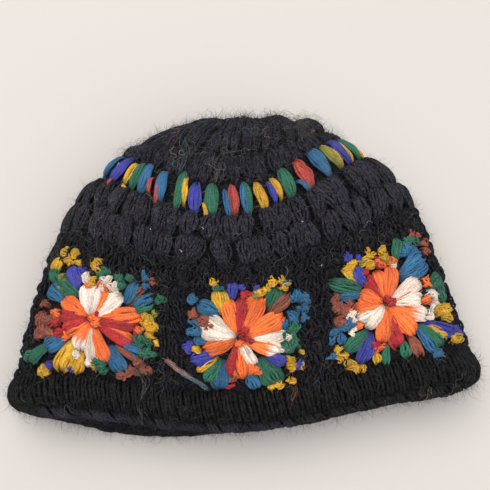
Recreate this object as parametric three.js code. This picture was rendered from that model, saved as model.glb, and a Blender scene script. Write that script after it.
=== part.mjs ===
// A crochet beanie of thick wool, lying on its back on a flat surface.
// Rounds of puff stitches make the crown, one round of them is coloured, and under the black rounds
// six flower squares stand side by side above a padded, ribbed brim with a cord along its edge.
// Millimetres, +Z up. The brim points to -Y, the crown to +Y, and the shown side is the upper layer.
import * as THREE from "three";

// Stations down the hat, from the crown's pole to the brim's edge. A station is one closed round of the
// cloth: "along" is its distance from the pole, leftX to rightY are its two folds and foldZ their height,
// upperY and upperZ are the middle of the upper layer and lowerY and lowerZ that of the lower layer.
// foldShare is the rounded share of the half width, the dips say how narrowly a layer's middle runs
// towards the brim, and lowerSkew moves the lower layer's dip to the left.
const stationColumns = [
  "along", "leftX", "leftY", "rightX", "rightY", "foldZ", "upperY", "upperZ", "lowerY", "lowerZ",
  "foldShare", "upperDip", "lowerDip", "lowerSkew",
];
const stations = [
  [0, 2, 183, 4, 184, 40, 184, 41, 183, 39, 1.0, 1.5, 1.5, 0],
  [10, -26, 182, 26, 184, 38, 180, 53, 182, 27, 1.0, 1.5, 1.5, 0],
  [24, -49, 178, 43, 183, 33, 172, 60, 176, 14, 0.9, 1.5, 1.5, 0],
  [50, -67, 171, 52, 180, 27, 154, 62, 158, 6, 0.6, 1.5, 1.5, 0],
  [68, -77, 164, 61, 175, 25, 139, 63, 142, 5, 0.35, 1.5, 1.5, 0],
  [90, -90, 149, 77, 163, 24, 120, 63, 123, 5, 0.25, 1.5, 1.5, 0],
  [107, -101, 134, 92, 148, 23, 107, 61, 110, 5, 0.2, 1.5, 1.5, 0],
  [123, -109, 117, 101, 133, 22, 95, 58, 98, 5, 0.18, 1.5, 1.5, 0],
  [137, -115, 103, 107, 119, 22, 84, 55, 87, 5, 0.17, 1.5, 1.5, 0],
  [172, -124, 70, 119, 84, 20, 55, 45, 57, 5, 0.16, 1.9, 1.8, 0.05],
  [208, -130, 36, 129, 50, 19, 26, 36, 28, 6, 0.16, 2.4, 2.0, 0.1],
  [228, -132, 17, 132, 31, 18, 9, 32, 9, 7, 0.16, 3.0, 2.2, 0.15],
  [235, -132, 10, 131, 23, 17, 4, 29, 3, 6, 0.16, 3.2, 2.2, 0.15],
].map((row) => Object.fromEntries(stationColumns.map((name, i) => [name, row[i]])));

const restCentre = [-0.1, 95.7]; // the middle of the hat's footprint, which becomes the origin
const foldRise = 14; // how far a fold's rounding lifts the upper layer above foldZ
const roundSamples = 120; // samples along each layer of a round
const gap = 0.4; // clear distance between two neighbouring pieces

// Offsets from the cloth's reference surface: out is positive, and the wall's inner face is negative.
const innerFace = -3.2;
const edgeFace = 1.2; // the outer face where two rounds meet
const floorZ = 0;

// The rounds of puff stitches, from the crown downwards.
const rounds = [
  { name: "crown_round_2", from: 24, to: 50, stitches: 30, steps: 2, peak: 5.6, valley: 3.6, shift: 0 },
  { name: "crown_round_1", from: 50, to: 68, stitches: 36, steps: 2, peak: 4.6, valley: 2.8, shift: 0.5 },
  { name: "colour_round", from: 68, to: 90, stitches: 36, steps: 3, peak: 5.2, valley: 2.6, shift: 0 },
  { name: "body_round_1", from: 90, to: 107, stitches: 36, steps: 2, peak: 5.6, valley: 3.4, shift: 0.5 },
  { name: "body_round_2", from: 107, to: 123, stitches: 36, steps: 2, peak: 5.6, valley: 3.4, shift: 0 },
  { name: "body_round_3", from: 123, to: 137, stitches: 36, steps: 2, peak: 4.8, valley: 3.4, shift: 0.5 },
];

// The crown's gathers: broad soft lobes that die out towards the coloured round.
const gathers = { count: 8, turn: 0.03, height: 2, from: 8, fade: 30, to: 60 };

// The crown's middle is fluted by its drawn-in stitches.
const crownCap = { columns: 40, flute: 0.9 };

// The flower squares, by the middle of each one around the hat: 0 is the right fold, 0.25 the middle of
// the upper layer, 0.5 the left fold and 0.75 the middle of the lower layer. The join is the strip of
// black stitches before the square.
const squares = [
  { name: "front_right", around: 0.092, join: "join_right_side" },
  { name: "front_middle", around: 0.2544, join: "join_front_right" },
  { name: "front_left", around: 0.4145, join: "join_front_left" },
  { name: "back_left", around: 0.5833, join: "join_left_side" },
  { name: "back_middle", around: 0.75, join: "join_back_left" },
  { name: "back_right", around: 0.9167, join: "join_back_right" },
];
const square = { from: 137, to: 208, halfAround: 0.0667, halfSize: 36 };
const flower = { radius: 26.8, petals: 12, notch: 2.4, boss: 5 };
const cornerRound = { hole: 27.6, leaf: 6.2, side: 4.4, edge: 2.6 };
const joinStrip = { across: 4, down: 6, ridge: 4.6, swell: 0.6, edge: 2.4, clear: 0.0008 };
const brimBand = { from: 208, to: 228, columns: 72, peak: 8.6, shoulder: 7.2, edge: 3.4 };
const brimEdge = {
  from: 228, to: 235, columns: 72, peak: 6.4, shoulder: 5.2, low: 4.2, lip: -1.2, inner: -2.2,
};

const lerp = (a, b, t) => a + (b - a) * t;
const wrap = (x) => x - Math.floor(x);

// The station at any distance from the pole, by Catmull-Rom between the table's rows.
function stationAt(along) {
  const last = stations.length - 1;
  const next = stations.findIndex((s) => s.along > along);
  const i = Math.min(Math.max((next < 0 ? last : next) - 1, 0), last - 1);
  const t = (along - stations[i].along) / (stations[i + 1].along - stations[i].along);
  const [a, b, c, d] = [-1, 0, 1, 2].map((k) => stations[Math.min(Math.max(i + k, 0), last)]);
  const blended = {};
  for (const key of stationColumns) {
    blended[key] =
      0.5 *
      (2 * b[key] +
        (c[key] - a[key]) * t +
        (2 * a[key] - 5 * b[key] + 4 * c[key] - d[key]) * t * t +
        (3 * b[key] - a[key] - 3 * c[key] + d[key]) * t * t * t);
  }
  return blended;
}

// One layer of a round as points with their running length, from fold to fold.
function layerOf(s, upper) {
  const points = [];
  const middleX = (s.leftX + s.rightX) / 2;
  const halfWidth = (s.rightX - s.leftX) / 2;
  const middleY = (s.leftY + s.rightY) / 2;
  for (let k = 0; k <= roundSamples; k++) {
    const side = Math.cos((Math.PI * k) / roundSamples) * (upper ? 1 : -1);
    const intoFold = Math.max(0, (Math.abs(side) - (1 - s.foldShare)) / s.foldShare);
    const roundness = Math.sqrt(Math.max(0, 1 - intoFold * intoFold));
    const skewed = upper ? side : side + s.lowerSkew * (1 - side * side);
    const dip = Math.max(0, 1 - skewed * skewed) ** (upper ? s.upperDip : s.lowerDip);
    const x = middleX + halfWidth * side;
    const y = lerp(s.leftY, s.rightY, (side + 1) / 2) - (middleY - (upper ? s.upperY : s.lowerY)) * dip;
    const rise = Math.min(s.upperZ - s.foldZ, foldRise);
    const z = upper
      ? s.foldZ + rise * roundness + (s.upperZ - s.foldZ - rise) * (1 - side * side)
      : s.foldZ - (s.foldZ - s.lowerZ) * roundness;
    points.push(new THREE.Vector3(x, y, z));
  }
  const lengths = [0];
  for (let k = 1; k < points.length; k++) {
    lengths.push(lengths[k - 1] + points[k].distanceTo(points[k - 1]));
  }
  return { points, lengths };
}

const layerCache = new Map();
function layersAt(along) {
  const key = along.toFixed(4);
  if (!layerCache.has(key)) {
    const s = stationAt(along);
    layerCache.set(key, [layerOf(s, true), layerOf(s, false)]);
  }
  return layerCache.get(key);
}

// A point of the reference surface: around runs once round the hat, in equal lengths of each layer.
function surfacePoint(around, along) {
  const turn = wrap(around) * 2;
  const { points, lengths } = layersAt(along)[turn < 1 ? 0 : 1];
  const want = (turn % 1) * lengths[lengths.length - 1];
  let k = 1;
  while (k < lengths.length - 1 && lengths[k] < want) k++;
  const t = (want - lengths[k - 1]) / (lengths[k] - lengths[k - 1]);
  return points[k - 1].clone().lerp(points[k], t);
}

// The outward normal there, from the two directions on the surface.
function surfaceNormal(around, along) {
  const down = Math.min(Math.max(along, 1.5), stations[stations.length - 1].along - 1);
  const step = 0.004;
  const alongTheRound = surfacePoint(around + step, down).sub(surfacePoint(around - step, down));
  const downTheHat = surfacePoint(around, down + 1).sub(surfacePoint(around, down - 1));
  return alongTheRound.cross(downTheHat).normalize();
}

// A point of a piece: the surface point moved out by an offset, and pressed flat where it would
// reach into the floor.
function clothPoint(around, along, offset) {
  const p = surfacePoint(around, along).addScaledVector(surfaceNormal(around, along), offset);
  p.set(p.x - restCentre[0], p.y - restCentre[1], Math.max(p.z, floorZ));
  return p;
}

function gatherAt(around, along) {
  const fade = THREE.MathUtils.smoothstep(along, 0, gathers.from) *
    (1 - THREE.MathUtils.smoothstep(along, gathers.fade, gathers.to));
  return gathers.height * fade * Math.cos(2 * Math.PI * gathers.count * (around - gathers.turn));
}

function meshOf(positions, indices) {
  const geometry = new THREE.BufferGeometry();
  geometry.setAttribute("position", new THREE.Float32BufferAttribute(positions, 3));
  geometry.setIndex(indices);
  return geometry;
}

// A closed mesh from a grid of points that wraps both ways: rows of the section, columns around.
function ringMesh(columns) {
  const positions = [];
  const indices = [];
  const across = columns[0].length;
  columns.forEach((column) => column.forEach((p) => positions.push(p.x, p.y, p.z)));
  for (let c = 0; c < columns.length; c++) {
    const d = (c + 1) % columns.length;
    for (let r = 0; r < across; r++) {
      const q = (r + 1) % across;
      const corner = [c * across + r, d * across + r, d * across + q, c * across + q];
      indices.push(corner[0], corner[1], corner[2], corner[0], corner[2], corner[3]);
    }
  }
  return meshOf(positions, indices);
}

// A closed slab from two grids of the same size, outer and inner, whose rims are joined.
function slabMesh(outer, inner) {
  const rowCount = outer.length;
  const columnCount = outer[0].length;
  const positions = [];
  const indices = [];
  for (const grid of [outer, inner]) {
    grid.forEach((row) => row.forEach((p) => positions.push(p.x, p.y, p.z)));
  }
  const top = (r, c) => r * columnCount + c;
  const under = (r, c) => rowCount * columnCount + top(r, c);
  const quad = (a, b, c, d) => indices.push(a, b, c, a, c, d);
  for (let r = 0; r < rowCount - 1; r++) {
    for (let c = 0; c < columnCount - 1; c++) {
      quad(top(r, c), top(r + 1, c), top(r + 1, c + 1), top(r, c + 1));
      quad(under(r, c), under(r, c + 1), under(r + 1, c + 1), under(r + 1, c));
    }
  }
  for (let r = 0; r < rowCount - 1; r++) {
    const far = columnCount - 1;
    quad(top(r, 0), under(r, 0), under(r + 1, 0), top(r + 1, 0));
    quad(top(r, far), top(r + 1, far), under(r + 1, far), under(r, far));
  }
  for (let c = 0; c < columnCount - 1; c++) {
    const far = rowCount - 1;
    quad(top(0, c), top(0, c + 1), under(0, c + 1), under(0, c));
    quad(top(far, c), under(far, c), under(far, c + 1), top(far, c + 1));
  }
  return meshOf(positions, indices);
}

// A closed lens from rings of points around an outer and an inner middle point.
function discMesh(outerMiddle, rings, innerMiddle) {
  const columnCount = rings[0].length;
  const positions = [];
  const indices = [];
  rings.forEach((ring) => ring.forEach((p) => positions.push(p.x, p.y, p.z)));
  const outerIndex = positions.length / 3;
  positions.push(outerMiddle.x, outerMiddle.y, outerMiddle.z);
  positions.push(innerMiddle.x, innerMiddle.y, innerMiddle.z);
  const lastRing = (rings.length - 1) * columnCount;
  for (let c = 0; c < columnCount; c++) {
    const d = (c + 1) % columnCount;
    indices.push(outerIndex, c, d);
    for (let r = 0; r < rings.length - 1; r++) {
      const near = r * columnCount;
      const far = near + columnCount;
      indices.push(near + c, far + c, far + d, near + c, far + d, near + d);
    }
    indices.push(outerIndex + 1, lastRing + d, lastRing + c);
  }
  return meshOf(positions, indices);
}

// A round of puff stitches: each stitch swells out between two thin edges. A section point is the
// distance from the crown's pole and the offset from the reference surface.
function puffRound({ from, to, stitches, steps, peak, valley, shift }) {
  const columns = [];
  for (let c = 0; c < stitches * steps; c++) {
    const around = (c / steps + shift) / stitches;
    const outside = c % steps === 0 ? valley : peak;
    const section = [
      [from + gap / 2, innerFace],
      [from + gap / 2, edgeFace],
      [lerp(from, to, 0.25), outside],
      [lerp(from, to, 0.75), outside],
      [to - gap / 2, edgeFace],
      [to - gap / 2, innerFace],
    ];
    columns.push(section.map(([along, offset]) => {
      const lifted = offset > 0 ? offset + gatherAt(around, along) : offset;
      return clothPoint(around, along, lifted);
    }));
  }
  return ringMesh(columns);
}

// The crown's middle: a small gathered cap that closes the hat.
function crownCentre() {
  const edge = rounds[0].from - gap * 2;
  const section = [
    [4, 3.0],
    [9, 4.8],
    [17, 5.2],
    [edge, edgeFace],
    [edge, innerFace],
    [12, innerFace],
    [5, innerFace],
  ];
  const rings = section.map(([along, offset]) => {
    const ring = [];
    for (let c = 0; c < crownCap.columns; c++) {
      const around = -c / crownCap.columns;
      const flute = c % 2 ? -crownCap.flute : crownCap.flute;
      const lifted = offset > edgeFace ? offset + flute + gatherAt(around, along) : offset;
      ring.push(clothPoint(around, along, lifted));
    }
    return ring;
  });
  const middleOf = (ring) => {
    const sum = ring.reduce((total, p) => total.add(p), new THREE.Vector3());
    return sum.divideScalar(ring.length);
  };
  return discMesh(middleOf(rings[0]), rings, middleOf(rings[rings.length - 1]));
}

// A point of a flower square, from millimetres across and down from its middle.
function squarePoint(around, across, down, offset) {
  const middle = (square.from + square.to) / 2;
  const half = (square.to - square.from) / 2;
  return clothPoint(
    around - (across / square.halfSize) * square.halfAround,
    middle + (down / square.halfSize) * half,
    offset,
  );
}

// The twelve-petalled flower in the middle of a square.
function flowerDisc(around) {
  const columnCount = flower.petals * 2;
  const rings = [
    { radius: flower.boss, petal: 4.6, notch: 3.4 },
    { radius: 14, petal: 6.6, notch: 4.2 },
    { radius: 22, petal: 6.4, notch: 3.4 },
    { radius: flower.radius, petal: 3.2, notch: 2.4 },
    { radius: flower.radius, petal: innerFace, notch: innerFace },
  ].map(({ radius, petal, notch }) => {
    const ring = [];
    for (let c = 0; c < columnCount; c++) {
      const angle = (2 * Math.PI * c) / columnCount;
      const isNotch = c % 2 === 1;
      const reach = isNotch && radius === flower.radius ? radius - flower.notch : radius;
      const offset = isNotch ? notch : petal;
      ring.push(squarePoint(around, reach * Math.cos(angle), -reach * Math.sin(angle), offset));
    }
    return ring;
  });
  return discMesh(squarePoint(around, 0, 0, 3.6), rings, squarePoint(around, 0, 0, innerFace));
}

// The round of corner leaves that makes the flower square: a plate with a round hole for the flower.
function cornerPlate(around) {
  const columnCount = 24;
  const columns = [];
  for (let c = 0; c < columnCount; c++) {
    const angle = (2 * Math.PI * c) / columnCount;
    const [cx, cy] = [Math.cos(angle), Math.sin(angle)];
    const border = (square.halfSize - gap) / Math.max(Math.abs(cx), Math.abs(cy));
    const isLeaf = c % 6 === 2 || c % 6 === 4;
    const swell = isLeaf ? cornerRound.leaf : cornerRound.side;
    const section = [
      [cornerRound.hole, innerFace],
      [cornerRound.hole, cornerRound.edge],
      [lerp(cornerRound.hole, border, 0.45), swell],
      [border, cornerRound.edge],
      [border, innerFace],
    ];
    columns.push(section.map(([radius, offset]) => squarePoint(around, radius * cx, radius * cy, offset)));
  }
  return ringMesh(columns);
}

// The black stitches between two squares.
function joinBetween(start, end) {
  const outer = [];
  const inner = [];
  for (let r = 0; r <= joinStrip.down; r++) {
    const along = lerp(square.from + gap / 2, square.to - gap / 2, r / joinStrip.down);
    const outerRow = [];
    const innerRow = [];
    for (let c = 0; c <= joinStrip.across; c++) {
      const around = lerp(end, start, c / joinStrip.across);
      const isRim = r === 0 || r === joinStrip.down || c === 0 || c === joinStrip.across;
      const ridge = joinStrip.ridge + (r % 2 ? joinStrip.swell : -joinStrip.swell);
      outerRow.push(clothPoint(around, along, isRim ? joinStrip.edge : ridge));
      innerRow.push(clothPoint(around, along, innerFace));
    }
    outer.push(outerRow);
    inner.push(innerRow);
  }
  return slabMesh(outer, inner);
}

// A padded roll around the whole hat. Its section is a list of points, each with the distance from the
// crown's pole and the offset from the reference surface.
function rollAround(columnCount, section) {
  const columns = [];
  for (let c = 0; c < columnCount; c++) {
    columns.push(section.map(([along, offset]) => clothPoint(c / columnCount, along, offset)));
  }
  return ringMesh(columns);
}

function bandGeometry() {
  const { from, to, columns, peak, shoulder, edge } = brimBand;
  return rollAround(columns, [
    [from + gap / 2, innerFace],
    [from + gap / 2, edge],
    [lerp(from, to, 0.22), shoulder],
    [lerp(from, to, 0.5), peak],
    [lerp(from, to, 0.8), shoulder],
    [to - gap / 2, edge],
    [to - gap / 2, innerFace],
  ]);
}

function edgeGeometry() {
  const { from, to, columns, peak, shoulder, low, lip, inner } = brimEdge;
  return rollAround(columns, [
    [from + gap / 2, inner],
    [from + gap / 2, shoulder],
    [lerp(from, to, 0.5), peak],
    [to, low],
    [to, lip],
    [lerp(from, to, 0.5), innerFace],
  ]);
}

const wool = (colour) => new THREE.MeshStandardMaterial({ color: colour, roughness: 0.95, metalness: 0 });
const blackWool = wool(0x1a1a20);
const mixedWool = wool(0x2b6f74);
const flowerWool = wool(0xe8622a);

const beanie = new THREE.Group();
const crown = new THREE.Group();
const body = new THREE.Group();
const squareBand = new THREE.Group();
const brim = new THREE.Group();
beanie.add(crown, body, squareBand, brim);

function addPiece(group, name, geometry, material) {
  const mesh = new THREE.Mesh(geometry, material);
  mesh.name = name;
  group.add(mesh);
}

addPiece(crown, "crown_centre", crownCentre(), blackWool);
for (const course of rounds) {
  const material = course.name === "colour_round" ? mixedWool : blackWool;
  addPiece(course.name.startsWith("body") ? body : crown, course.name, puffRound(course), material);
}
squares.forEach(({ name, around, join }, i) => {
  addPiece(squareBand, "flower_" + name, flowerDisc(around), flowerWool);
  addPiece(squareBand, "corner_round_" + name, cornerPlate(around), mixedWool);
  const before = squares[(i + squares.length - 1) % squares.length];
  const start = before.around - (i === 0 ? 1 : 0) + square.halfAround + joinStrip.clear;
  addPiece(squareBand, join, joinBetween(start, around - square.halfAround - joinStrip.clear), blackWool);
});
addPiece(brim, "brim_band", bandGeometry(), blackWool);
addPiece(brim, "brim_edge", edgeGeometry(), blackWool);

export default beanie;
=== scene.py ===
import math
import bpy
import numpy as np
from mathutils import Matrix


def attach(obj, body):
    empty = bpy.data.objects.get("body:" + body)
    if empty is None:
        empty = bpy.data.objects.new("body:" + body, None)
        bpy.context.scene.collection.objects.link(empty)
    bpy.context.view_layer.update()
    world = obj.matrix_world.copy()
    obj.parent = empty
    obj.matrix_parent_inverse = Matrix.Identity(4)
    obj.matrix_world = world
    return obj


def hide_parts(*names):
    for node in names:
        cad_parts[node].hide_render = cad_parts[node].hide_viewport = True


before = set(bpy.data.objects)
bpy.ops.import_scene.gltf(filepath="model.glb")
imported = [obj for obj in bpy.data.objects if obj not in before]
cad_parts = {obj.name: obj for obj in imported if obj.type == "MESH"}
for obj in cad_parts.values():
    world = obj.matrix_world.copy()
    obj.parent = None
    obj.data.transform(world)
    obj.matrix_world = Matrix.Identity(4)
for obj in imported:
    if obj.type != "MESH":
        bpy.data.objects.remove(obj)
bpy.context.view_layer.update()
print("frame loaded")

# the lying hat as one reference surface in mm, a row for each closed round of the cloth:
# along, leftX, leftY, rightX, rightY, foldZ, upperY, upperZ, lowerY, lowerZ, foldShare, upperDip, lowerDip, lowerSkew
stations = np.array([
    (0, 2, 183, 4, 184, 40, 184, 41, 183, 39, 1.0, 1.5, 1.5, 0),
    (10, -26, 182, 26, 184, 38, 180, 53, 182, 27, 1.0, 1.5, 1.5, 0),
    (24, -49, 178, 43, 183, 33, 172, 60, 176, 14, 0.9, 1.5, 1.5, 0),
    (50, -67, 171, 52, 180, 27, 154, 62, 158, 6, 0.6, 1.5, 1.5, 0),
    (68, -77, 164, 61, 175, 25, 139, 63, 142, 5, 0.35, 1.5, 1.5, 0),
    (90, -90, 149, 77, 163, 24, 120, 63, 123, 5, 0.25, 1.5, 1.5, 0),
    (107, -101, 134, 92, 148, 23, 107, 61, 110, 5, 0.2, 1.5, 1.5, 0),
    (123, -109, 117, 101, 133, 22, 95, 58, 98, 5, 0.18, 1.5, 1.5, 0),
    (137, -115, 103, 107, 119, 22, 84, 55, 87, 5, 0.17, 1.5, 1.5, 0),
    (172, -124, 70, 119, 84, 20, 55, 45, 57, 5, 0.16, 1.9, 1.8, 0.05),
    (208, -130, 36, 129, 50, 19, 26, 36, 28, 6, 0.16, 2.4, 2.0, 0.1),
    (228, -132, 17, 132, 31, 18, 9, 32, 9, 7, 0.16, 3.0, 2.2, 0.15),
    (235, -132, 10, 131, 23, 17, 4, 29, 3, 6, 0.16, 3.2, 2.2, 0.15),
], float)
hat = {
    "restCentre": (-0.1, 95.7), "foldRise": 14.0, "length": 235, "sideSamples": 481, "layerSamples": 360,
    "normalReach": 3, "edgeReach": 5.0, "floorGap": 0.2,
    "gatherTurns": ((0, 0.078, 0.432, 0.5, 1.0), (-0.15, 0.5, 3.5, 4.05, 7.85)), "gatherHeight": 2.6,
    "gatherStart": (6, 10), "gatherEnd": (30, 30),  # along, and the length over which they grow or fade
    "dents": ((0.412, 17, 0.03, 7, 3.0), (0.45, 32, 0.035, 14, 4.5), (0.045, 12, 0.03, 4, 5.0),
              (0.02, 42, 0.03, 12, 3.5)),  # around, along, their reaches, depth
    "lyingSide": (0.52, 0.98),  # around, from and to
    "edgeTuck": (6.5, 0.06), "edgePeek": (5.0, 0.63, 0.075)}  # depth, its place around, its reach


def stationAt(along):
    row = int(np.clip(np.searchsorted(stations[:, 0], along, "right") - 1, 0, len(stations) - 2))
    t = (along - stations[row, 0]) / (stations[row + 1, 0] - stations[row, 0])
    a, b, c, d = (stations[np.clip(row + k, 0, len(stations) - 1)] for k in (-1, 0, 1, 2))
    return 0.5 * (2 * b + (c - a) * t + (2 * a - 5 * b + 4 * c - d) * t ** 2 + (3 * b - a - 3 * c + d) * t ** 3)


def layerOf(station, upper):
    (_, leftX, leftY, rightX, rightY, foldZ, upperY, upperZ, lowerY, lowerZ,
     foldShare, upperDip, lowerDip, lowerSkew) = station
    side = np.cos(np.linspace(0, np.pi, hat["sideSamples"])) * (1 if upper else -1)
    intoFold = np.clip((np.abs(side) - (1 - foldShare)) / foldShare, 0, 1)
    roundness = np.sqrt(1 - intoFold ** 2)
    skewed = side if upper else side + lowerSkew * (1 - side ** 2)
    dip = np.clip(1 - skewed ** 2, 0, 1) ** (upperDip if upper else lowerDip)
    x = (leftX + rightX) / 2 + (rightX - leftX) / 2 * side
    y = leftY + (rightY - leftY) * (side + 1) / 2 - ((leftY + rightY) / 2 - (upperY if upper else lowerY)) * dip
    rise = min(upperZ - foldZ, hat["foldRise"])
    if upper:
        z = foldZ + rise * roundness + (upperZ - foldZ - rise) * (1 - side ** 2)
    else:
        z = foldZ - (foldZ - lowerZ) * roundness
    points = np.stack([x - hat["restCentre"][0], y - hat["restCentre"][1], z], -1)
    lengths = np.concatenate([[0], np.cumsum(np.linalg.norm(np.diff(points, axis=0), axis=1))])
    want = np.linspace(0, lengths[-1], hat["layerSamples"] + 1)
    return np.stack([np.interp(want, lengths, points[:, k]) for k in range(3)], -1), lengths[-1]


def buildSurface():
    grid, sizes = [], []
    for along in range(hat["length"] + 1):
        upper, upperLength = layerOf(stationAt(along), True)
        lower, lowerLength = layerOf(stationAt(along), False)
        grid.append(np.concatenate([upper[:-1], lower[:-1]]))
        sizes.append((upperLength, lowerLength))
    grid = np.array(grid)
    reach = hat["normalReach"]
    normals = np.cross(np.roll(grid, -reach, axis=1) - np.roll(grid, reach, axis=1), np.gradient(grid, axis=0))
    normals /= np.linalg.norm(normals, axis=-1, keepdims=True) + 1e-9
    normals[:2] = normals[2]
    return grid, normals, np.array(sizes)


surfaceGrid, surfaceNormals, layerLengths = buildSurface()
columnCount = surfaceGrid.shape[1]


def fromGrid(grid, around, along):
    column, row = np.mod(around, 1.0) * columnCount, np.clip(along, 0, hat["length"])
    c0 = np.floor(column).astype(int) % columnCount
    r0 = np.minimum(np.floor(row).astype(int), hat["length"] - 1)
    c1, r1 = (c0 + 1) % columnCount, r0 + 1
    u, v = (column - np.floor(column))[..., None], (row - r0)[..., None]
    return (grid[r0, c0] * (1 - u) + grid[r0, c1] * u) * (1 - v) + (grid[r1, c0] * (1 - u) + grid[r1, c1] * u) * v


def gatherAt(around, along):  # the broad gathers of the crown
    rise, fall = (np.clip((along - start) / length, 0, 1) for start, length in (hat["gatherStart"], hat["gatherEnd"]))
    fade = rise * rise * (3 - 2 * rise) * (1 - fall * fall * (3 - 2 * fall))
    wave = np.cos(2 * np.pi * np.interp(np.mod(around, 1.0), *hat["gatherTurns"]))
    height = hat["gatherHeight"] * fade * (1 - 2 * np.sqrt(np.clip((1 - wave) / 2, 0, 1)) ** 3)
    for around0, along0, reach, alongReach, depth in hat["dents"]:
        height = height - depth * np.exp(-((around - around0) / reach) ** 2 - ((along - along0) / alongReach) ** 2)
    return height


def clothAt(around, along, offset, floorGap):
    around, along, offset = np.broadcast_arrays(
        np.asarray(around, float), np.asarray(along, float), np.asarray(offset, float))
    points = fromGrid(surfaceGrid, around, along) + fromGrid(surfaceNormals, around, along) * offset[..., None]
    edge, before = (fromGrid(surfaceGrid, around, np.full(around.shape, hat["length"] - back))
                    for back in (0.0, hat["edgeReach"]))
    pastEdge = np.maximum(along - hat["length"], 0)[..., None]
    points += (edge - before) / hat["edgeReach"] * pastEdge  # runs on past the cloth's edge
    points[..., 2] = np.maximum(points[..., 2], floorGap)  # pressed flat on the table
    return points


def fromFold(around):  # 0 at the two folds
    return around * 2 - np.round(around * 2)


def edgeShift(around):  # the band's lower edge is drawn in at the two folds, and its lower layer shows a little below
    (tuck, tuckReach), (peek, peekAt, peekReach) = hat["edgeTuck"], hat["edgePeek"]
    return peek * np.exp(-((around - peekAt) / peekReach) ** 2) - tuck * np.exp(-(fromFold(around) / tuckReach) ** 2)


def liesUnder(around):  # the side that lies on the table is made plainer
    return hat["lyingSide"][0] < around % 1 < hat["lyingSide"][1]


def perTurn(around, along):
    row = int(np.clip(round(along), 0, hat["length"]))
    return 2 * layerLengths[row][0 if (around % 1) < 0.5 else 1]


# yarn colours
def linear(red, green, blue):
    s = np.array([red, green, blue]) / 255
    return np.where(s <= 0.04045, s / 12.92, ((s + 0.055) / 1.055) ** 2.4)


yarnColours = {name: linear(*shade) for name, shade in {
    "orange": (255, 120, 56), "darkRed": (186, 44, 50), "cream": (240, 221, 206), "indigo": (64, 67, 166),
    "green": (43, 110, 84), "teal": (47, 106, 147), "yellow": (222, 170, 40), "rust": (154, 82, 64),
    "lime": (140, 142, 58), "coral": (184, 72, 58), "blush": (196, 150, 136), "mist": (96, 134, 146),
    "moss": (82, 82, 62), "black": (33, 31, 40), "soot": (27, 26, 31), "brim": (22, 22, 23), "pale": (112, 112, 107),
}.items()}
tinting = {"split": 0.15, "change": 0.66, "changeSpread": 0.08, "changeLength": 0.12, "shadeSpread": 0.12,
           "hueSpread": 0.04}


def strandTint(colours, side, count, rng):  # a/b splits the bundle, a>b changes towards its tip
    if "/" in colours:
        first, second = colours.split("/")
        tint = np.repeat(yarnColours[second if side > tinting["split"] else first][None], count, 0)
    elif ">" in colours:
        first, second = colours.split(">")
        past = np.linspace(0, 1, count)[:, None] - tinting["change"] - tinting["changeSpread"] * rng.standard_normal()
        share = np.clip(past / tinting["changeLength"], 0, 1)
        tint = yarnColours[first] * (1 - share) + yarnColours[second] * share
    else:
        tint = np.repeat(yarnColours[colours][None], count, 0)
    return tint * (1 + tinting["shadeSpread"] * rng.standard_normal()
                   + tinting["hueSpread"] * rng.standard_normal((1, 3)))


# node helpers
def addNode(tree, kind, inputs=(), **settings):  # an input is a value, a socket, or a node for its first output
    node = tree.nodes.new(kind)
    for key, value in settings.items():
        setattr(node, key, value)
    for key, value in dict(inputs).items():
        value = value.outputs[0] if isinstance(value, bpy.types.Node) else value
        if isinstance(value, bpy.types.NodeSocket):
            tree.links.new(value, node.inputs[key])
        else:
            node.inputs[key].default_value = value
    return node


def addMath(tree, operation, *values):
    return addNode(tree, "ShaderNodeMath", enumerate(values), operation=operation)


def addRange(tree, value, fromMin, fromMax, toMin, toMax):
    return addNode(tree, "ShaderNodeMapRange", {"Value": value, "From Min": fromMin, "From Max": fromMax,
                                                "To Min": toMin, "To Max": toMax})


def addNoise(tree, vector, scale, detail, roughness=0.5, distortion=0.0):
    return addNode(tree, "ShaderNodeTexNoise", {"Vector": vector, "Scale": scale, "Detail": detail,
                                                "Roughness": roughness, "Distortion": distortion})


def newTree(name, kind, inputs, outputs):  # the tree, its given values and its results
    tree = bpy.data.node_groups.new(name, kind)
    for socketName, socketType, default in inputs:
        socket = tree.interface.new_socket(socketName, in_out="INPUT", socket_type="NodeSocket" + socketType)
        if default is not None:
            socket.default_value = default
    for socketName, socketType in outputs:
        tree.interface.new_socket(socketName, in_out="OUTPUT", socket_type="NodeSocket" + socketType)
    return tree, tree.nodes.new("NodeGroupInput").outputs, tree.nodes.new("NodeGroupOutput").inputs


def setInputs(node, values):
    for name, value in values.items():
        node.inputs[name].default_value = value


def socketId(tree, name):
    return next(s.identifier for s in tree.interface.items_tree if s.name == name and s.in_out == "INPUT")


# wool seen close: fibres along the yarn, a felted cross fuzz and fine hairs
woolGrain = {"fibre": (1.6, 4.0, 0.65, 0.4), "felt": (4.0, 0.75), "cloud": (90.0, 3.0),  # noise values
             "toneFrom": (0.45, 0.55), "cloudFrom": (0.35, 0.65), "cloudTo": (0.84, 1.16), "roughTo": (1.0, 0.8),
             "hairLines": ((300.0, 0.05), (560.0, 0.06)), "hairCurl": 1.2,  # scale and width of each
             "bumpDepth": 0.0009, "sheenRough": 0.45}


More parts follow.
